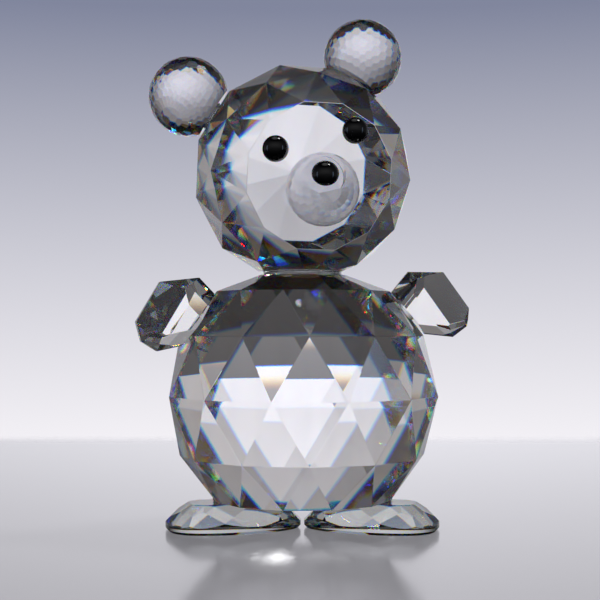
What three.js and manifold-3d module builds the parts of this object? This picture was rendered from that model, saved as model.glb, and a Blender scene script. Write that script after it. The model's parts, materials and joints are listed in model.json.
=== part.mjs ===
// Crystal glass bear figurine: an assembly of cut and polished lead crystal
// stones and black glass cabochons, bonded together at ground flats.
//
// Units are millimetres and +Z is up. The bear looks along -Y. Left and right
// are a viewer's, so the left ear, arm and foot are at -X. The origin is on the
// table, at the centre of the figurine's footprint box.
//
// Every crystal is a convex stone, a blank that flat facets are ground into.
// The body and the head are balls with one twelve-fold cut, whose facet corners
// lie on a sphere in rings of twelve. The ears and the muzzle are small balls
// with rows of staggered facets that all touch one inner sphere.
import * as THREE from 'three';
import { mergeVertices } from 'three/addons/utils/BufferGeometryUtils.js';
import Module from 'manifold-3d';

const wasm = await Module();
wasm.setup();
const DEG = Math.PI / 180;

// Twelve-fold cut of the body and the head: the latitudes of its rings.
const folds = 12;
const midLatitude = 25.9 * DEG;
const capLatitude = 49.5 * DEG;

// Body ball. Its top is ground flat for the neck, and its bottom for the feet.
const bodyRadius = 30;
const bodyTurn = 3 * DEG;
const neckFlatHeight = 26.5;

// Head ball, above the body's centre: turned aside, nodding and tilted. Its
// front is ground flat as the face.
const headRadius = 24.25;
const headRise = 48.95;
const headTurn = 11.3 * DEG;
const headNod = 8.4 * DEG;
const headTilt = 13.7 * DEG;

// Honeycomb cut of the ears and the muzzle: facets around, rows on each side of
// the middle row, the angle between rows, how far a facet reaches as a share of
// that angle, and the flats at the poles.
const honeycombFolds = 24;
const honeycombRows = 5;
const honeycombPitch = 13 * DEG;
const honeycombReach = 0.62;
const poleFlatRadius = 1.2;
const poleFlatDepth = 0.25;

// Ears: balls on the head's facets at this azimuth from the top of the face.
// Each has the depth of its ground flat below its centre, and a slide along the
// facet. One pole of the left ear points down and forwards in the figurine.
const earRadius = 8.75;
const earAzimuth = 45 * DEG;
const earFits = {
  left_ear: { side: -1, flatDepth: 6.5, slide: 0.8 },
  right_ear: { side: 1, flatDepth: 6.1, slide: 1.6 },
};
const leftEarPole = [-0.38, -0.67, -0.64];

// Muzzle: a ball on the face, with a flat ground on its front for the nose.
const muzzleRadius = 7.55;
const muzzlePlace = [-1, -2.3];
const muzzleFlatDepth = 4.7;
const noseTilt = 31 * DEG;
const noseFlatRadius = 4.3;

// Black cabochons on the face and on the muzzle.
const cabochonRadius = 2.75;
const cabochonHeight = 2.3;
const cabochonEdge = 0.3;
const eyePlaces = { left_eye: [-8, 7.6], right_eye: [9.2, 7.7] };

// Arm stones: blunt-cornered blocks with a table and a crown on each face,
// ground flat along one side for the joint. The outline runs round from that
// flat, with distances down along it and out from it, and each point has the
// kind of side that starts there.
const armOutline = [
  { down: 0, out: 0, side: 'joint' },
  { down: 12, out: 0, side: 'corner' },
  { down: 16.8, out: 4.6, side: 'lower' },
  { down: 17, out: 8.6, side: 'corner' },
  { down: 14.2, out: 11.8, side: 'outer' },
  { down: 4.3, out: 12.3, side: 'corner' },
  { down: -1.2, out: 5.9, side: 'upper' },
];

// The two arms are cut for their places. Each face has its table's height above
// the girdle's middle, and the slope of its crown along each kind of side. The
// right arm's front has one more step between its outer facet and the table.
const armCuts = {
  left_arm: {
    girdle: 1.6,
    front: { table: 4, slopes: { corner: 46, lower: 47, outer: 24, upper: 27 } },
    back: { table: 4, slopes: { corner: 58, lower: 38, outer: 23, upper: 42 } },
  },
  right_arm: {
    girdle: 0.7,
    front: { table: 3.4, slopes: { corner: 53, lower: 44, outer: 32, upper: 42 }, step: 23.5 },
    back: { table: 3, slopes: { corner: 58, lower: 48, outer: 22, upper: 27 } },
  },
};
const armStepStart = { down: 8.2, out: 3.2 };

// Foot stones: pears with a flat bottom, a smooth girdle and a faceted crown.
// The waist, where a pear is widest, and the body's seat are measured from the
// tip. The taper shapes the tip, and the bluntness shapes the round end.
const footLength = 29.9;
const footWaist = 18.5;
const footSeat = 15.5;
const footHalfWidth = 9.8;
const footTaper = 1.15;
const footBluntness = 2.6;
const footSteps = 12;
const footHeight = 5.9;
const footGirdle = 1.6;
const footChamfer = 0.6;
const footSplay = 12 * DEG;
const footTip = [0.45, 3];
const footFacets = 12;
const footCrown = [
  { slope: 46 * DEG, inset: 0, stagger: 0.5 },
  { slope: 33 * DEG, inset: 2.4, stagger: 0 },
];

// Clear adhesive films, each with a hair of clearance to both its stones.
const clearance = 0.1;
const filmThickness = 0.3;
const neckFilm = { radius: 8.9, thickness: 0.6 };
const footFilm = { radius: 4.2, thickness: 0.4 };
const earFilmRadius = 3.3;
const muzzleFilmRadius = 5.2;
const noseFilmRadius = 2.3;
const eyeFilmRadius = 2.3;
const armFilmRadius = 3.1;

// Heights and distances that follow from the stones' cuts.
const bodyBase = footHeight + footFilm.thickness + 2 * clearance;
const bodyCentre = bodyBase + bodyRadius * Math.sin(capLatitude);
const faceDistance = headRadius * Math.sin(capLatitude);
const neckSeat = neckFlatHeight + neckFilm.thickness + 2 * clearance;

const up = new THREE.Vector3(0, 0, 1);
const crystal = { color: 0xdfe3ea, roughness: 0.03, metalness: 0 };
const blackGlass = { color: 0x0a0a10, roughness: 0.06, metalness: 0 };
const adhesive = { color: 0xf1f3f2, roughness: 0.12, metalness: 0 };

// A closed three.js geometry as a solid that can be ground.
function toSolid(geometry) {
  geometry.deleteAttribute('normal');
  geometry.deleteAttribute('uv');
  const merged = mergeVertices(geometry, 1e-5);
  const mesh = new wasm.Mesh({
    numProp: 3,
    vertProperties: new Float32Array(merged.attributes.position.array),
    triVerts: new Uint32Array(merged.index.array),
  });
  return new wasm.Manifold(mesh);
}

// A ground solid as a flat-shaded three.js geometry.
function toGeometry(solid) {
  const mesh = solid.getMesh();
  const geometry = new THREE.BufferGeometry();
  geometry.setAttribute('position', new THREE.BufferAttribute(mesh.vertProperties, 3));
  geometry.setIndex(new THREE.BufferAttribute(mesh.triVerts, 1));
  const faceted = geometry.toNonIndexed();
  faceted.computeVertexNormals();
  return faceted;
}

// Grinds one flat facet: all that lies beyond the plane at a distance from the
// origin, along its normal, is cut away.
function grind(solid, normal, distance) {
  const size = 4 * bodyRadius;
  const block = new THREE.BoxGeometry(size, size, size);
  block.translate(0, 0, distance + size / 2);
  block.applyQuaternion(new THREE.Quaternion().setFromUnitVectors(up, normal));
  return solid.subtract(toSolid(block));
}

// Unit direction at a latitude above the XY plane and an azimuth from +Y to +X.
function direction(latitude, azimuth) {
  const level = Math.cos(latitude);
  return new THREE.Vector3(level * Math.sin(azimuth), level * Math.cos(azimuth), Math.sin(latitude));
}

// The plane of the facet through three corners of a ball.
function facetPlane(radius, corners) {
  const points = corners.map(([latitude, azimuth]) => direction(latitude, azimuth).multiplyScalar(radius));
  const plane = new THREE.Plane().setFromCoplanarPoints(...points);
  const side = Math.sign(-plane.constant);
  return { normal: plane.normal.multiplyScalar(side), distance: Math.abs(plane.constant) };
}

// The twelve-fold ball about +Z: five staggered rings and two poles. Its middle
// ring and cap rings have a corner at half a step from +Y.
function twelveFoldBall(radius) {
  const step = (2 * Math.PI) / folds;
  const latitudes = [-capLatitude, -midLatitude, 0, midLatitude, capLatitude];
  const corners = [];
  latitudes.forEach((latitude, row) => {
    const stagger = row % 2 === 0 ? 0.5 : 0;
    for (let k = 0; k < folds; k += 1) {
      corners.push(...direction(latitude, -(k + stagger) * step).multiplyScalar(radius));
    }
  });
  corners.push(0, 0, -radius, 0, 0, radius);
  const lastRow = latitudes.length - 1;
  const south = latitudes.length * folds;
  const north = south + 1;
  const triangles = [];
  for (let k = 0; k < folds; k += 1) {
    const next = (k + 1) % folds;
    triangles.push(south, next, k);
    triangles.push(north, lastRow * folds + k, lastRow * folds + next);
    for (let row = 0; row < lastRow; row += 1) {
      const low = row * folds;
      const high = low + folds;
      const [lowTip, highTip] = row % 2 === 0 ? [low + k, high + next] : [low + next, high + k];
      triangles.push(low + k, low + next, highTip);
      triangles.push(high + next, high + k, lowTip);
    }
  }
  const geometry = new THREE.BufferGeometry();
  geometry.setAttribute('position', new THREE.Float32BufferAttribute(corners, 3));
  geometry.setIndex(triangles);
  return toSolid(geometry);
}

// A ball with honeycomb facets about +Z and a small flat at each pole.
function honeycombBall(radius) {
  const facetDistance = radius * Math.cos(honeycombReach * honeycombPitch);
  let ball = toSolid(new THREE.BoxGeometry(2 * radius, 2 * radius, 2 * radius));
  for (let row = -honeycombRows; row <= honeycombRows; row += 1) {
    const stagger = Math.abs(row % 2) / 2;
    for (let k = 0; k < honeycombFolds; k += 1) {
      const azimuth = ((k + stagger) * 2 * Math.PI) / honeycombFolds;
      ball = grind(ball, direction(row * honeycombPitch, azimuth), facetDistance);
    }
  }
  const poleDistance = Math.sqrt(radius ** 2 - poleFlatRadius ** 2) - poleFlatDepth;
  ball = grind(ball, up.clone(), poleDistance);
  return grind(ball, up.clone().negate(), poleDistance);
}

// Grinds a facet of an arm's crown: it slopes away from a face, along X, towards
// the outside, and passes through a point.
function grindCrown(stone, face, outward, slope, point) {
  const normal = outward.clone().multiplyScalar(Math.sin(slope * DEG));
  normal.x = face * Math.cos(slope * DEG);
  return grind(stone, normal, normal.dot(point));
}

// An arm stone, standing with its joint flat in the plane z = 0. The outline's
// distance down along the flat is -Y. Its front faces +X or -X, and a trim
// grinds the joint flat that much deeper.
function armStone({ girdle, front, back }, frontSide, trim) {
  const size = 4 * bodyRadius;
  const faces = [[frontSide, front], [-frontSide, back]];
  const middle = (frontSide * (front.table - back.table)) / 2;
  const blank = new THREE.BoxGeometry(front.table + back.table, size, size).translate(middle, 0, 0);
  let stone = grind(toSolid(blank), up.clone().negate(), -trim);
  armOutline.forEach(({ down, out, side }, k) => {
    if (side === 'joint') {
      return;
    }
    const next = armOutline[(k + 1) % armOutline.length];
    const outward = new THREE.Vector3(0, out - next.out, down - next.down).normalize();
    const edge = new THREE.Vector3(0, -down, out);
    stone = grind(stone, outward, outward.dot(edge));
    for (const [face, { table, slopes, step }] of faces) {
      edge.x = (face * girdle) / 2;
      stone = grindCrown(stone, face, outward, slopes[side], edge);
      if (step && side === 'outer') {
        const start = new THREE.Vector3(face * table, -armStepStart.down, armStepStart.out);
        stone = grindCrown(stone, face, outward, step, start);
      }
    }
  });
  return stone.translate([0, 0, -trim]);
}

// Half of a foot's outline from the tip to the round end: a sine flank up to
// the widest place, then a quarter of a blunt superellipse.
function footFlank() {
  const points = [];
  for (let k = 1; k <= footSteps; k += 1) {
    const turn = (k / footSteps) * (Math.PI / 2);
    points.push([footWaist * (1 - Math.cos(turn) ** footTaper), footHalfWidth * Math.sin(turn)]);
  }
  for (let k = 1; k < footSteps; k += 1) {
    const turn = (k / footSteps) * (Math.PI / 2);
    const along = (footLength - footWaist) * Math.sin(turn) ** (2 / footBluntness);
    points.push([footWaist + along, footHalfWidth * Math.cos(turn) ** (2 / footBluntness)]);
  }
  return points;
}

// A foot stone, flat on z = 0, with its tip at the origin and its round end
// along +X.
function footStone() {
  const flank = footFlank();
  const mirrored = flank.map(([x, y]) => [x, -y]);
  const outline = [[0, 0], ...mirrored, [footLength, 0], ...flank.reverse()];
  const points = outline.map(([x, y]) => new THREE.Vector2(x, y));
  const blank = new THREE.ExtrudeGeometry(new THREE.Shape(points), {
    depth: footHeight - 2 * footChamfer,
    bevelThickness: footChamfer,
    bevelSize: footChamfer,
    bevelOffset: -footChamfer,
    bevelSegments: 1,
  });
  blank.translate(0, 0, footChamfer);
  let stone = toSolid(blank);
  for (const { slope, inset, stagger } of footCrown) {
    const start = footGirdle + inset * Math.tan(footCrown[0].slope);
    for (let k = 0; k < footFacets; k += 1) {
      const angle = ((k + stagger) * 2 * Math.PI) / footFacets;
      const outward = new THREE.Vector2(Math.cos(angle), Math.sin(angle));
      const reach = Math.max(...points.map((point) => point.dot(outward))) - inset;
      const steepness = Math.sin(slope);
      const normal = new THREE.Vector3(outward.x * steepness, outward.y * steepness, Math.cos(slope));
      stone = grind(stone, normal, reach * steepness + start * Math.cos(slope));
    }
  }
  return stone;
}

// A domed cabochon with its flat back on z = 0.
function cabochonGeometry() {
  const rise = cabochonHeight - cabochonEdge;
  const domeRadius = (cabochonRadius ** 2 + rise ** 2) / (2 * rise);
  const spread = Math.asin(cabochonRadius / domeRadius);
  const profile = [new THREE.Vector2(0, 0), new THREE.Vector2(cabochonRadius, 0)];
  const steps = 7;
  for (let k = 0; k < steps; k += 1) {
    const angle = spread * (1 - k / steps);
    const height = cabochonHeight - domeRadius * (1 - Math.cos(angle));
    profile.push(new THREE.Vector2(domeRadius * Math.sin(angle), height));
  }
  profile.push(new THREE.Vector2(0, cabochonHeight));
  return new THREE.LatheGeometry(profile, 28).rotateX(Math.PI / 2);
}

// A film of adhesive on z = 0, with a hollow rim as surface tension leaves it.
function filmGeometry(radius, thickness) {
  const waist = radius - thickness / 3;
  const profile = [
    new THREE.Vector2(0, 0),
    new THREE.Vector2(radius, 0),
    new THREE.Vector2(waist, thickness / 2),
    new THREE.Vector2(radius, thickness),
    new THREE.Vector2(0, thickness),
  ];
  return new THREE.LatheGeometry(profile, 24).rotateX(Math.PI / 2);
}

// One named piece in a group.
function addPiece(parent, name, geometry, finish, place = [0, 0, 0]) {
  const piece = new THREE.Mesh(geometry, new THREE.MeshStandardMaterial(finish));
  piece.name = name;
  piece.position.set(...place);
  parent.add(piece);
  return piece;
}

// A group that sits on a facet: its +Z is the facet's normal, its origin lies
// in the facet's plane and its +Y points as far towards the parent's +Z, or
// towards another given direction, as it can.
function addSeat(parent, { normal, distance }, rise = up) {
  const side = rise.clone().cross(normal).normalize();
  const along = normal.clone().cross(side);
  const seat = new THREE.Group();
  seat.quaternion.setFromRotationMatrix(new THREE.Matrix4().makeBasis(side, along, normal));
  seat.position.copy(normal).multiplyScalar(distance);
  parent.add(seat);
  return seat;
}

// A film on a seat. What it bonds starts at the returned height.
function addFilm(seat, name, radius, thickness = filmThickness) {
  addPiece(seat, name, filmGeometry(radius, thickness), adhesive, [0, 0, clearance]);
  return thickness + 2 * clearance;
}

// The body ball, with its ground flats for the neck and the feet.
function addBody(parent) {
  const body = new THREE.Group();
  body.position.z = bodyCentre;
  body.rotation.z = bodyTurn;
  parent.add(body);
  let ball = twelveFoldBall(bodyRadius);
  ball = grind(ball, up, neckFlatHeight);
  ball = grind(ball, up.clone().negate(), bodyCentre - bodyBase);
  addPiece(body, 'body_ball', toGeometry(ball), crystal);
  return body;
}

// The arms stand on two shoulder facets of the body. The right one's facet is
// centred on the side, and the left one's is the next one towards the front.
function addArms(body) {
  const half = Math.PI / folds;
  const side = Math.PI / 2;
  const shoulders = {
    right_arm: {
      corners: [[capLatitude, side - half], [capLatitude, side + half], [midLatitude, side]],
      frontSide: -1,
      place: [0, 4.6],
      turn: 9 * DEG,
      trim: 0,
    },
    left_arm: {
      corners: [[midLatitude, -side], [midLatitude, -side - 2 * half], [capLatitude, -side - half]],
      frontSide: 1,
      place: [3, 6.3],
      turn: 0,
      trim: 0.9,
    },
  };
  for (const [name, { corners, frontSide, place, turn, trim }] of Object.entries(shoulders)) {
    const seat = addSeat(body, facetPlane(bodyRadius, corners));
    const height = addFilm(seat, `${name}_bond`, armFilmRadius);
    const stone = armStone(armCuts[name], frontSide, trim);
    const arm = addPiece(seat, name, toGeometry(stone), crystal, [...place, height]);
    arm.rotation.z = turn;
  }
}

// The head's own frame has +X to the right of the face, +Y to its top and +Z
// out of it.
function addHead(parent) {
  const head = new THREE.Group();
  head.position.z = bodyCentre + headRise;
  const pose = new THREE.Quaternion().setFromEuler(new THREE.Euler(headNod, headTurn, headTilt, 'YXZ'));
  head.quaternion.setFromAxisAngle(new THREE.Vector3(1, 0, 0), Math.PI / 2).multiply(pose);
  parent.add(head);
  const down = up.clone().negate().applyQuaternion(head.quaternion.clone().invert());
  let ball = twelveFoldBall(headRadius).rotate([0, 0, 180 / folds]);
  ball = grind(ball, up, faceDistance);
  ball = grind(ball, down, headRise - neckSeat);
  addPiece(head, 'head_ball', toGeometry(ball), crystal);
  return head;
}

// The ears sit just behind the head's middle ring, on its downward triangles.
function addEars(head) {
  const half = Math.PI / folds;
  for (const [name, { side, flatDepth, slide }] of Object.entries(earFits)) {
    const azimuth = side * earAzimuth;
    const corners = [[0, azimuth - half], [0, azimuth + half], [-midLatitude, azimuth]];
    const seat = addSeat(head, facetPlane(headRadius, corners));
    const height = addFilm(seat, `${name}_bond`, earFilmRadius);
    let ball = honeycombBall(earRadius);
    if (side < 0) {
      ball = turnPole(ball, seat, leftEarPole);
    }
    ball = grind(ball, up.clone().negate(), flatDepth);
    addPiece(seat, name, toGeometry(ball), crystal, [side * slide, 0, height + flatDepth]);
  }
}

// Turns a ball's +Z pole to a direction in the figurine's frame.
function turnPole(ball, seat, pole) {
  seat.updateWorldMatrix(true, false);
  const frame = new THREE.Quaternion().setFromRotationMatrix(seat.matrixWorld).invert();
  const target = new THREE.Vector3(...pole).normalize().applyQuaternion(frame);
  const tip = new THREE.Quaternion().setFromUnitVectors(up, target);
  const turn = new THREE.Euler().setFromQuaternion(tip, 'ZYX');
  return ball.rotate([turn.x / DEG, turn.y / DEG, turn.z / DEG]);
}

// The muzzle on the face, and the nose on the muzzle.
function addMuzzle(head) {
  const seat = new THREE.Group();
  seat.position.set(...muzzlePlace, faceDistance);
  head.add(seat);
  const height = addFilm(seat, 'muzzle_bond', muzzleFilmRadius);
  const noseDirection = new THREE.Vector3(0, Math.sin(noseTilt), Math.cos(noseTilt));
  const noseDistance = Math.sqrt(muzzleRadius ** 2 - noseFlatRadius ** 2);
  let ball = honeycombBall(muzzleRadius);
  ball = grind(ball, up.clone().negate(), muzzleFlatDepth);
  ball = grind(ball, noseDirection, noseDistance);
  const centre = [0, 0, height + muzzleFlatDepth];
  const muzzle = addPiece(seat, 'muzzle', toGeometry(ball), crystal, centre);
  const noseSeat = addSeat(muzzle, { normal: noseDirection, distance: noseDistance });
  const noseHeight = addFilm(noseSeat, 'nose_bond', noseFilmRadius);
  addPiece(noseSeat, 'nose', cabochonGeometry(), blackGlass, [0, 0, noseHeight]);
}

function addEyes(head) {
  for (const [name, place] of Object.entries(eyePlaces)) {
    const seat = new THREE.Group();
    seat.position.set(...place, faceDistance);
    head.add(seat);
    const height = addFilm(seat, `${name}_bond`, eyeFilmRadius);
    addPiece(seat, name, cabochonGeometry(), blackGlass, [0, 0, height]);
  }
}

// The feet point outwards, tip to tip, and the body stands on both.
function addFeet(parent) {
  for (const [name, sign] of [['left', -1], ['right', 1]]) {
    const foot = new THREE.Group();
    foot.position.set(sign * footTip[0], footTip[1], 0);
    foot.rotation.z = sign > 0 ? -footSplay : Math.PI + footSplay;
    parent.add(foot);
    addPiece(foot, `${name}_foot`, toGeometry(footStone()), crystal);
    const seat = new THREE.Group();
    seat.position.set(footSeat, 0, footHeight);
    foot.add(seat);
    addFilm(seat, `${name}_foot_bond`, footFilm.radius, footFilm.thickness);
  }
}

function addNeckFilm(parent) {
  const seat = new THREE.Group();
  seat.position.z = bodyCentre + neckFlatHeight;
  parent.add(seat);
  addFilm(seat, 'neck_bond', neckFilm.radius, neckFilm.thickness);
}

const figurine = new THREE.Group();
const body = addBody(figurine);
addArms(body);
addNeckFilm(figurine);
const head = addHead(figurine);
addEars(head);
addMuzzle(head);
addEyes(head);
addFeet(figurine);

// Centre the footprint box on the origin. The feet already stand on z = 0.
figurine.updateMatrixWorld(true);
const footprint = new THREE.Box3().setFromObject(figurine, true).getCenter(new THREE.Vector3());
figurine.position.set(-footprint.x, -footprint.y, 0);

export default figurine;
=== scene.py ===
import json
import math

import bmesh
import bpy
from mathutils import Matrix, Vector


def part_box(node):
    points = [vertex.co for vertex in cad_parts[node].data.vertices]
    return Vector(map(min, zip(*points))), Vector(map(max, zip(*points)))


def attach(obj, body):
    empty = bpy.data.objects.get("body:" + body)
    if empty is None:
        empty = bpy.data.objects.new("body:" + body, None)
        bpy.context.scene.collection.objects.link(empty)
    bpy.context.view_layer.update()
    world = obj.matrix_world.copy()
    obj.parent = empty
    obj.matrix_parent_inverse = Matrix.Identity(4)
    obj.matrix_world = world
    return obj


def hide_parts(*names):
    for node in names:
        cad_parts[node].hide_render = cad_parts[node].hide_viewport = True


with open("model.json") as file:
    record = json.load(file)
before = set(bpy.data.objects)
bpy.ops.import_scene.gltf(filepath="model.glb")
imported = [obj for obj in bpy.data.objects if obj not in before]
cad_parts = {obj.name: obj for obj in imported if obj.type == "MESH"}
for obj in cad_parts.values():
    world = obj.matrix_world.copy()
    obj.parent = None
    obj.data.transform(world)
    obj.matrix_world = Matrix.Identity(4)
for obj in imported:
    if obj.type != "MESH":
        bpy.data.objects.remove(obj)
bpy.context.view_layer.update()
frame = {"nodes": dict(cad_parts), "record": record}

MM = 0.001

# Stones by kind, and which stones each bond film joins.
BALLS = ["body_ball", "head_ball"]
HONEYCOMBS = ["left_ear", "right_ear", "muzzle"]
ARMS = ["left_arm", "right_arm"]
FEET = ["left_foot", "right_foot"]
CABOCHONS = ["nose", "left_eye", "right_eye"]
BONDS = {
    "neck_bond": ["body_ball", "head_ball"],
    "left_ear_bond": ["head_ball", "left_ear"],
    "right_ear_bond": ["head_ball", "right_ear"],
    "muzzle_bond": ["head_ball", "muzzle"],
    "nose_bond": ["muzzle"],
    "left_eye_bond": ["head_ball"],
    "right_eye_bond": ["head_ball"],
    "left_arm_bond": ["body_ball", "left_arm"],
    "right_arm_bond": ["body_ball", "right_arm"],
    "left_foot_bond": ["body_ball", "left_foot"],
    "right_foot_bond": ["body_ball", "right_foot"],
}

# Edges of the stones: the polished bevel on each kind, the angle above which an
# edge between two facets is bevelled, the angle below which two smooth faces
# shade as one, and the angle below which triangles belong to one facet. Points
# nearer than the merge distance are one corner.
BEVEL = {"ball": 0.05 * MM, "honeycomb": 0.03 * MM, "arm": 0.04 * MM, "foot": 0.04 * MM}
FACET_ANGLE = math.radians(7)
ROUND_STEP = math.radians(25)
COPLANAR = math.radians(0.4)
MERGE = 0.001 * MM

# A foot's smooth flank has faces that stand upright, within this rise of their
# normals.
FLANK_RISE = 0.05

# The edge between a cabochon's dome and its flat back stays sharp.
DOME_EDGE = math.radians(40)

# Bonds: how far beyond its film's thickness a stone's flat is looked for, how
# parallel the two are, the margin of a wetted disc to the flat's rim, how far a
# film reaches beyond the CAD's film on each side, how deep its rim is hollowed
# as a share of half its thickness, and the rings and points that it is made of.
FLAT_REACH = 0.5 * MM
FLAT_ALIGNMENT = 0.9999
WET_MARGIN = 0.1 * MM
FILM_GAP = 0.095 * MM
RIM_HOLLOW = 0.7
RIM_RINGS = 5
RING_POINTS = 32

# Lead crystal. The bands share out white light between refractive indices: each
# has its place on the dispersion and its share of red, green and blue.
CRYSTAL_IOR = 1.58
BANDS = [
    (0.0, (0.1, 0.5, 0.05)),
    (-1.0, (0.55, 0.0, 0.0)),
    (-0.5, (0.35, 0.3, 0.0)),
    (0.6, (0.0, 0.2, 0.35)),
    (1.3, (0.0, 0.0, 0.6)),
]

# Each cut's glass: its tint, how far it splits colours, and how high and how
# wide its polishing waves are. The tint is partly painted shade: the one clear
# crystal is made greyer on the head, ears, muzzle, arms and feet than on the
# body, so that these cuts look less lit.
CRYSTALS = {
    "crystal_body": {
        "tint_and_shade": (0.98, 0.98, 0.99), "dispersion": 0.03,
        "height": 0.012 * MM, "width": 9 * MM,
    },
    "crystal_head": {
        "tint_and_shade": (0.88, 0.88, 0.89), "dispersion": 0.04,
        "height": 0.012 * MM, "width": 8 * MM,
    },
    "crystal_honeycomb": {
        "tint_and_shade": (0.83, 0.83, 0.86), "dispersion": 0.04,
        "height": 0.006 * MM, "width": 3 * MM,
    },
    "crystal_arm": {
        "tint_and_shade": (0.9, 0.9, 0.9), "dispersion": 0.02,
        "height": 0.006 * MM, "width": 4 * MM,
    },
    "crystal_foot": {
        "tint_and_shade": (0.85, 0.86, 0.86), "dispersion": 0.03,
        "height": 0.006 * MM, "width": 4 * MM,
    },
}

# Striae, the faint veins in the glass: how much darker and how wide they are.
STRIAE_DEPTH = 0.03
STRIAE_WIDTH = 6 * MM

# Light crosses many facets before it leaves the crystal.
BOUNCES = 32

# The camera, from the body's axis and the floor: level with the body's upper
# half, and tilted a little up. Its lens and sensor are in millimetres.
CAMERA_PLACE = (-0.53 * MM, -282.7 * MM, 44.14 * MM)
CAMERA_TILT = math.radians(91.25)
CAMERA_LENS = 76.71
CAMERA_SENSOR = 36

# The stage. The floor ends behind the figurine, where it fades out over a short
# way, and the backdrop goes on below. The lift is the floor's own faint glow.
FLOOR_EDGE = 0.208
FLOOR_FADE = 0.04
FLOOR_REACH = 0.6
FLOOR_DROP = 0.02 * MM
FLOOR_LIFT = 0.15

# The backdrop's colours, as the camera sees them, at elevations in degrees.
BACKDROP = [
    (-5, (0.9, 0.88, 0.92)),
    (14, (0.22, 0.24, 0.34)),
    (40, (0.2, 0.22, 0.3)),
]

# Light that falls on the figurine: each glow has its azimuth from +Y to +X, its
# half-width, how soft its sides are, its colour and its strengths at
# elevations. All angles are in degrees.
GLOWS = {
    "ceiling": {
        "azimuth": 0, "reach": 180, "fade": 0.1, "colour": (1.0, 1.0, 1.0),
        "levels": [(70, 0.0), (80, 0.75)],
    },
    "backdrop": {
        "azimuth": 5, "reach": 33, "fade": 36, "colour": (1.16, 1.15, 1.23),
        "levels": [(-25, 0.75), (-8, 1.0), (4, 0.9), (22, 0.45), (34, 0.35), (50, 0.0)],
    },
    "left_side": {
        "azimuth": -66, "reach": 50, "fade": 25, "colour": (0.98, 0.98, 1.04),
        "levels": [(-25, 0.3), (12, 0.05), (30, 0.0)],
    },
    "room": {
        "azimuth": 180, "reach": 125, "fade": 25, "colour": (0.97, 0.98, 1.05),
        "levels": [(-25, 0.1), (5, 0.12), (20, 0.09), (45, 0.05), (65, 0.0)],
    },
    "soft_box": {
        "azimuth": 180, "reach": 50, "fade": 45, "colour": (1.0, 1.0, 1.0),
        "levels": [(-5, 0.0), (15, 0.2), (25, 0.25), (36, 0.2), (60, 0.0)],
    },
    "lamp": {
        "azimuth": 75, "reach": 12, "fade": 3, "colour": (1.0, 1.0, 1.0),
        "levels": [(64, 0.0), (65, 15.0), (73, 15.0), (74, 0.0)],
    },
    "right_strip": {
        "azimuth": 112, "reach": 4, "fade": 2, "colour": (0.7, 0.95, 1.35),
        "levels": [(-12, 0.0), (-8, 1.2), (16, 1.2), (20, 0.0)],
    },
    "left_strip": {
        "azimuth": -112, "reach": 4, "fade": 2, "colour": (0.7, 0.95, 1.35),
        "levels": [(-12, 0.0), (-8, 1.2), (16, 1.2), (20, 0.0)],
    },
}


def node(tree, kind, **values):
    """Adds a shader node and sets its inputs by name."""
    made = tree.nodes.new(kind)
    for name, value in values.items():
        made.inputs[name.replace("_", " ")].default_value = value
    return made


def new_material(name):
    """A node material with only its output, and its tree."""
    material = bpy.data.materials.new(name)
    material.use_nodes = True
    tree = material.node_tree
    tree.nodes.clear()
    return material, tree, tree.nodes.new("ShaderNodeOutputMaterial")


def map_range(tree, source, low, high, to_low, to_high, kind="SMOOTHSTEP"):
    """The output of a Map Range node fed by an output."""
    made = tree.nodes.new("ShaderNodeMapRange")
    made.interpolation_type = kind
    tree.links.new(source, made.inputs["Value"])
    for name, value in (("From Min", low), ("From Max", high), ("To Min", to_low), ("To Max", to_high)):
        made.inputs[name].default_value = value
    return made.outputs["Result"]


def maths(tree, operation, *values):
    """The output of a Math node on outputs or numbers."""
    made = tree.nodes.new("ShaderNodeMath")
    made.operation = operation
    for socket, value in zip(made.inputs, values):
        if isinstance(value, (int, float)):
            socket.default_value = value
        else:
            tree.links.new(value, socket)
    return made.outputs[0]


def ramp(tree, source, stops):
    """The colour of a ramp with the given stops, each a place and a colour."""
    made = tree.nodes.new("ShaderNodeValToRGB")
    elements = made.color_ramp.elements
    while len(elements) < len(stops):
        elements.new(0.5)
    for element, (place, colour) in zip(elements, stops):
        element.position = place
        element.color = (*colour, 1)
    tree.links.new(source, made.inputs[0])
    return made.outputs[0]


def noise(tree, width, stretch=(1, 1, 1)):
    """Smooth noise with patches of a width, in the figurine's own space."""
    place = tree.nodes.new("ShaderNodeTexCoord")
    squeeze = node(tree, "ShaderNodeMapping", Scale=stretch)
    cloud = node(tree, "ShaderNodeTexNoise", Scale=1 / width, Detail=2.0, Roughness=0.5)
    tree.links.new(place.outputs["Object"], squeeze.inputs["Vector"])
    tree.links.new(squeeze.outputs[0], cloud.inputs["Vector"])
    return cloud.outputs[0]


def drift(tree, width, low, high):
    """A value that drifts between two numbers over patches of a width."""
    return map_range(tree, noise(tree, width), 0.3, 0.7, low, high)


def waves(tree, height, width):
    """Normals of a surface with low waves of a height and width."""
    bump = node(tree, "ShaderNodeBump", Strength=1.0, Distance=height)
    tree.links.new(noise(tree, width), bump.inputs["Height"])
    return bump.outputs[0]


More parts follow.
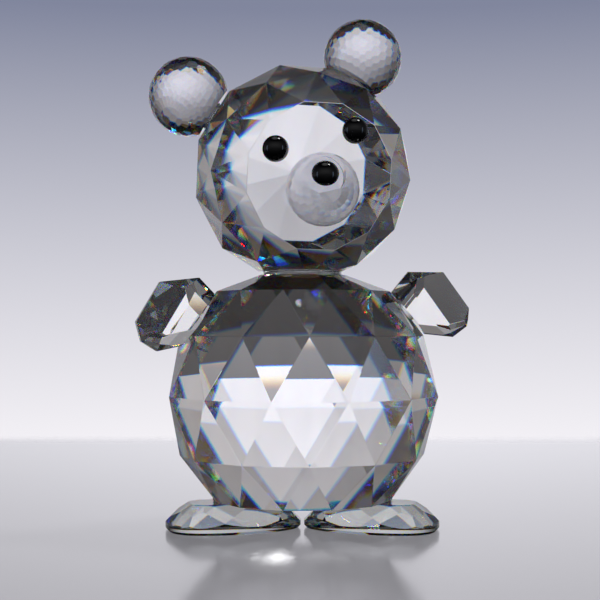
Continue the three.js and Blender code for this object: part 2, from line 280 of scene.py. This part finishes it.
def crystal_material(name, tint_and_shade, dispersion, height, width):
    """Polished lead crystal with faint striae, which splits light into colours."""
    material, tree, output = new_material(name)
    link = tree.links.new
    polish = waves(tree, height, width)
    striae = noise(tree, STRIAE_WIDTH, stretch=(1, 1, 0.3))

    def glass(colour, ior):
        veined = tuple(c * (1 - STRIAE_DEPTH) for c in colour)
        made = node(tree, "ShaderNodeBsdfGlass", Roughness=0.0, IOR=ior)
        link(ramp(tree, striae, [(0.4, veined), (0.6, colour)]), made.inputs["Color"])
        link(polish, made.inputs["Normal"])
        return made.outputs[0]

    # The tint is the glass's colour and also painted shade, greyer on some cuts than on others.
    plain = glass(tint_and_shade, CRYSTAL_IOR)
    spectrum = None
    for place, share in BANDS:
        band = glass([c * t for c, t in zip(share, tint_and_shade)], CRYSTAL_IOR + place * dispersion)
        if spectrum is None:
            spectrum = band
            continue
        both = tree.nodes.new("ShaderNodeAddShader")
        link(spectrum, both.inputs[0])
        link(band, both.inputs[1])
        spectrum = both.outputs[0]
    path = tree.nodes.new("ShaderNodeLightPath")
    mix = tree.nodes.new("ShaderNodeMixShader")
    link(path.outputs["Is Camera Ray"], mix.inputs[0])
    link(plain, mix.inputs[1])
    link(spectrum, mix.inputs[2])
    link(mix.outputs[0], output.inputs["Surface"])
    return material


def contact_material():
    """The wetted face under a bond, where light passes unbent from stone to stone."""
    material, tree, output = new_material("bond_contact")
    clear = node(tree, "ShaderNodeBsdfTransparent")
    clarity = [(0.35, (0.95, 0.955, 0.96)), (0.6, (0.985, 0.985, 0.985))]
    cloudy = ramp(tree, noise(tree, 2 * MM), clarity)
    tree.links.new(cloudy, clear.inputs["Color"])
    tree.links.new(clear.outputs[0], output.inputs["Surface"])
    return material


def adhesive_material():
    """Clear cured resin, which is less evenly smooth than the polished stones."""
    material, tree, output = new_material("clear_adhesive")
    glass = node(tree, "ShaderNodeBsdfGlass", Color=(0.95, 0.96, 0.96, 1), IOR=1.5)
    tree.links.new(drift(tree, 1.5 * MM, 0.04, 0.14), glass.inputs["Roughness"])
    tree.links.new(waves(tree, 0.02 * MM, 1.2 * MM), glass.inputs["Normal"])
    tree.links.new(glass.outputs[0], output.inputs["Surface"])
    return material


def cabochon_material():
    """Fire-polished black glass, with the faintest depth and orange peel."""
    material, tree, output = new_material("black_cabochon")
    black = node(tree, "ShaderNodeBsdfPrincipled", IOR=1.52)
    shades = [(0.3, (0.002, 0.002, 0.003)), (0.7, (0.006, 0.006, 0.009))]
    depth = ramp(tree, noise(tree, 3 * MM), shades)
    tree.links.new(depth, black.inputs["Base Color"])
    tree.links.new(drift(tree, 0.8 * MM, 0.02, 0.06), black.inputs["Roughness"])
    tree.links.new(waves(tree, 0.001 * MM, 0.9 * MM), black.inputs["Normal"])
    tree.links.new(black.outputs[0], output.inputs["Surface"])
    return material


class Bond:
    """Where a film lies: its centre, axis, radius and the gap that it fills."""

    def __init__(self, name):
        mesh = frame["nodes"][name].data
        points = [v.co for v in mesh.vertices]
        self.centre = sum(points, Vector()) / len(points)
        widest = max(mesh.polygons, key=lambda p: p.area)
        self.axis = widest.normal.copy()
        lifts = [(p - self.centre).dot(self.axis) for p in points]
        self.centre += self.axis * (max(lifts) + min(lifts)) / 2
        self.thickness = max(lifts) - min(lifts)
        spokes = [p - self.centre for p in points]
        self.radius = max((s - self.axis * s.dot(self.axis)).length for s in spokes)

    def ring(self, lift, radius):
        """Points of a circle about the axis, at a height along it."""
        turn = Vector((0, 0, 1)).rotation_difference(self.axis).to_matrix()
        middle = self.centre + self.axis * lift
        angles = [2 * math.pi * k / RING_POINTS for k in range(RING_POINTS)]
        flat = [Vector((radius * math.cos(a), radius * math.sin(a), 0)) for a in angles]
        return [middle + turn @ point for point in flat]


def finish_piece(name, bm, materials):
    """Turns a bmesh into a piece that stands for its CAD node."""
    mesh = bpy.data.meshes.new(name)
    bm.to_mesh(mesh)
    bm.free()
    piece = bpy.data.objects.new(name, mesh)
    bpy.context.scene.collection.objects.link(piece)
    for material in materials:
        mesh.materials.append(material)
    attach(piece, "root")
    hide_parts(name.replace("_look", ""))
    return piece


def cut_contact(bm, bond):
    """Marks the disc of a stone's flat that a bond wets, as material 1."""
    reach = bond.thickness + FLAT_REACH
    best = None
    for face in bm.faces:
        lift = (face.calc_center_median() - bond.centre).dot(bond.axis)
        if abs(face.normal.dot(bond.axis)) > FLAT_ALIGNMENT and abs(lift) < reach:
            if best is None or face.calc_area() > best.calc_area():
                best = face
    lift = (best.calc_center_median() - bond.centre).dot(bond.axis)
    centre = bond.centre + bond.axis * lift
    sides = [(e.verts[0].co, e.verts[1].co) for e in best.edges]
    room = min((centre - a).cross((b - a).normalized()).length for a, b in sides)
    radius = min(bond.radius, room - WET_MARGIN)
    normal = best.normal.copy()
    outer = list(best.edges)
    verts = [bm.verts.new(p) for p in bond.ring(lift, radius)]
    inner = [bm.edges.new((a, b)) for a, b in zip(verts, verts[1:] + verts[:1])]
    disc = bm.faces.new(verts)
    disc.normal_update()
    if disc.normal.dot(normal) < 0:
        disc.normal_flip()
    disc.material_index = 1
    bm.faces.remove(best)
    filled = bmesh.ops.triangle_fill(bm, edges=outer + inner, use_beauty=True, normal=normal)
    for face in [g for g in filled["geom"] if isinstance(g, bmesh.types.BMFace)]:
        face.normal_update()
        if face.normal.dot(normal) < 0:
            face.normal_flip()


def on_flank(face, kind):
    """Whether a face belongs to the smooth flank of a foot."""
    return kind == "foot" and abs(face.normal.z) < FLANK_RISE


def add_stone(name, kind, crystals, contact, bonds):
    """A stone with bevelled facet edges and wetted discs under its bonds."""
    bm = bmesh.new()
    bm.from_mesh(frame["nodes"][name].data)
    bmesh.ops.remove_doubles(bm, verts=bm.verts, dist=MERGE)
    bmesh.ops.dissolve_limit(bm, angle_limit=COPLANAR, verts=bm.verts, edges=bm.edges)
    flank = {f for f in bm.faces if on_flank(f, kind)}
    edges = [e for e in bm.edges if not flank.issuperset(e.link_faces)]
    sharp = [e for e in edges if e.calc_face_angle() > FACET_ANGLE]
    bmesh.ops.bevel(
        bm, geom=sharp, offset=BEVEL[kind], segments=1, affect="EDGES", profile=0.5, clamp_overlap=True,
    )
    for face in bm.faces:
        face.smooth = on_flank(face, kind)
    for edge in bm.edges:
        edge.smooth = edge.calc_face_angle(0) < ROUND_STEP
    for bond_name, stones in BONDS.items():
        if name in stones:
            cut_contact(bm, bonds[bond_name])
    slot = {s["node"]: s["material_slot"] for s in frame["record"]["subparts"]}[name]
    return finish_piece(name + "_look", bm, [crystals[slot], contact])


def add_film(name, bond, adhesive, contact):
    """A bond film that fills its joint, with a hollow clear rim."""
    half = bond.thickness / 2 + FILM_GAP
    bm = bmesh.new()
    rings = []
    for k in range(RIM_RINGS):
        lift = half * (2 * k / (RIM_RINGS - 1) - 1)
        hollow = (1 - (lift / half) ** 2) * half * RIM_HOLLOW
        rings.append([bm.verts.new(p) for p in bond.ring(lift, bond.radius - hollow)])
    for low, high in zip(rings, rings[1:]):
        for k, vert in enumerate(low):
            after = (k + 1) % len(low)
            face = bm.faces.new((vert, low[after], high[after], high[k]))
            face.smooth = True
    for ring in (rings[0][::-1], rings[-1]):
        cap = bm.faces.new(ring)
        cap.material_index = 1
    bmesh.ops.recalc_face_normals(bm, faces=bm.faces)
    return finish_piece(name + "_look", bm, [adhesive, contact])


def add_cabochon(name, material):
    """A cabochon with a smooth dome."""
    bm = bmesh.new()
    bm.from_mesh(frame["nodes"][name].data)
    bmesh.ops.remove_doubles(bm, verts=bm.verts, dist=MERGE)
    for face in bm.faces:
        face.smooth = True
    for edge in bm.edges:
        edge.smooth = edge.calc_face_angle(0) < DOME_EDGE
    return finish_piece(name + "_look", bm, [material])


def add_camera():
    """The photograph's viewing angle, with the whole figurine in view."""
    body = [Vector(c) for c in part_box("body_ball")]
    axis = (body[0] + body[1]) / 2
    data = bpy.data.cameras.new("camera")
    data.sensor_width = CAMERA_SENSOR
    data.lens = CAMERA_LENS
    data.clip_start = 0.01
    camera = bpy.data.objects.new("camera", data)
    x, y, z = CAMERA_PLACE
    camera.location = (axis.x + x, axis.y + y, z)
    camera.rotation_euler = (CAMERA_TILT, 0, 0)
    bpy.context.scene.collection.objects.link(camera)
    bpy.context.scene.camera = camera


def add_floor():
    """A plain pale floor with a soft shine. Seen through the crystal it is a dark mirror."""
    material, tree, output = new_material("floor")
    link = tree.links.new
    plain = (0.5, 0.49, 0.52, 1)
    black = (0.002, 0.002, 0.002, 1)
    pale = node(tree, "ShaderNodeBsdfPrincipled", Base_Color=plain, Roughness=0.12, IOR=1.6)
    pale.inputs["Emission Color"].default_value = (0.95, 0.93, 1.0, 1)
    pale.inputs["Emission Strength"].default_value = FLOOR_LIFT
    dark = node(tree, "ShaderNodeBsdfPrincipled", Base_Color=black, Roughness=0.0, IOR=2.0)
    path = tree.nodes.new("ShaderNodeLightPath")
    mix = tree.nodes.new("ShaderNodeMixShader")
    link(path.outputs["Is Camera Ray"], mix.inputs[0])
    link(dark.outputs[0], mix.inputs[1])
    link(pale.outputs[0], mix.inputs[2])
    place = tree.nodes.new("ShaderNodeNewGeometry")
    parts = tree.nodes.new("ShaderNodeSeparateXYZ")
    link(place.outputs["Position"], parts.inputs[0])
    fade = map_range(tree, parts.outputs["Y"], FLOOR_EDGE, FLOOR_EDGE + FLOOR_FADE, 0, 1)
    clear = node(tree, "ShaderNodeBsdfTransparent")
    soft = tree.nodes.new("ShaderNodeMixShader")
    link(fade, soft.inputs[0])
    link(mix.outputs[0], soft.inputs[1])
    link(clear.outputs[0], soft.inputs[2])
    link(soft.outputs[0], output.inputs["Surface"])
    mesh = bpy.data.meshes.new("floor")
    side, far = FLOOR_REACH, FLOOR_EDGE + FLOOR_FADE
    corners = [(-side, -side, 0), (side, -side, 0), (side, far, 0), (-side, far, 0)]
    mesh.from_pydata(corners, [], [(0, 1, 2, 3)])
    mesh.materials.append(material)
    floor = bpy.data.objects.new("floor", mesh)
    floor.location.z = -FLOOR_DROP
    bpy.context.scene.collection.objects.link(floor)


def elevation_stops(levels):
    """Ramp stops for colours at elevations in degrees, over -90 to 90."""
    return [((angle + 90) / 180, colour) for angle, colour in levels]


def add_world():
    """The studio's light by direction. The camera sees only the plain backdrop."""
    world = bpy.data.worlds.new("studio")
    world.use_nodes = True
    bpy.context.scene.world = world
    tree = world.node_tree
    tree.nodes.clear()
    link = tree.links.new
    coords = tree.nodes.new("ShaderNodeTexCoord")
    parts = tree.nodes.new("ShaderNodeSeparateXYZ")
    link(coords.outputs["Generated"], parts.inputs[0])
    x, y, z = parts.outputs
    elevation = maths(tree, "DEGREES", maths(tree, "ARCSINE", z))
    azimuth = maths(tree, "DEGREES", maths(tree, "ARCTAN2", x, y))
    height = map_range(tree, elevation, -90, 90, 0, 1, "LINEAR")

    total = None
    for glow in GLOWS.values():
        turn = maths(tree, "SUBTRACT", azimuth, glow["azimuth"])
        away = maths(tree, "ABSOLUTE", maths(tree, "WRAP", turn, 180, -180))
        share = map_range(tree, away, glow["reach"] - glow["fade"], glow["reach"] + glow["fade"], 1, 0)
        levels = [(angle, [strength * c for c in glow["colour"]]) for angle, strength in glow["levels"]]
        colour = ramp(tree, height, elevation_stops(levels))
        part = node(tree, "ShaderNodeBackground")
        link(colour, part.inputs["Color"])
        link(share, part.inputs["Strength"])
        if total is None:
            total = part.outputs[0]
        else:
            both = tree.nodes.new("ShaderNodeAddShader")
            link(total, both.inputs[0])
            link(part.outputs[0], both.inputs[1])
            total = both.outputs[0]
    seen = node(tree, "ShaderNodeBackground")
    link(ramp(tree, height, elevation_stops(BACKDROP)), seen.inputs["Color"])
    path = tree.nodes.new("ShaderNodeLightPath")
    mix = tree.nodes.new("ShaderNodeMixShader")
    link(path.outputs["Is Camera Ray"], mix.inputs[0])
    link(total, mix.inputs[1])
    link(seen.outputs[0], mix.inputs[2])
    output = tree.nodes.new("ShaderNodeOutputWorld")
    link(mix.outputs[0], output.inputs["Surface"])


add_camera()
add_world()
add_floor()

contact = contact_material()
adhesive = adhesive_material()
crystals = {name: crystal_material(name, **look) for name, look in CRYSTALS.items()}
black = cabochon_material()
bonds = {name: Bond(name) for name in BONDS}
for kind, names in (("ball", BALLS), ("honeycomb", HONEYCOMBS), ("arm", ARMS), ("foot", FEET)):
    for name in names:
        add_stone(name, kind, crystals, contact, bonds)
for name, bond in bonds.items():
    add_film(name, bond, adhesive, contact)
for name in CABOCHONS:
    add_cabochon(name, black)

scene = bpy.context.scene
scene.view_settings.view_transform = "Standard"
scene.cycles.max_bounces = BOUNCES
scene.cycles.glossy_bounces = BOUNCES
scene.cycles.transmission_bounces = BOUNCES
scene.cycles.transparent_max_bounces = BOUNCES
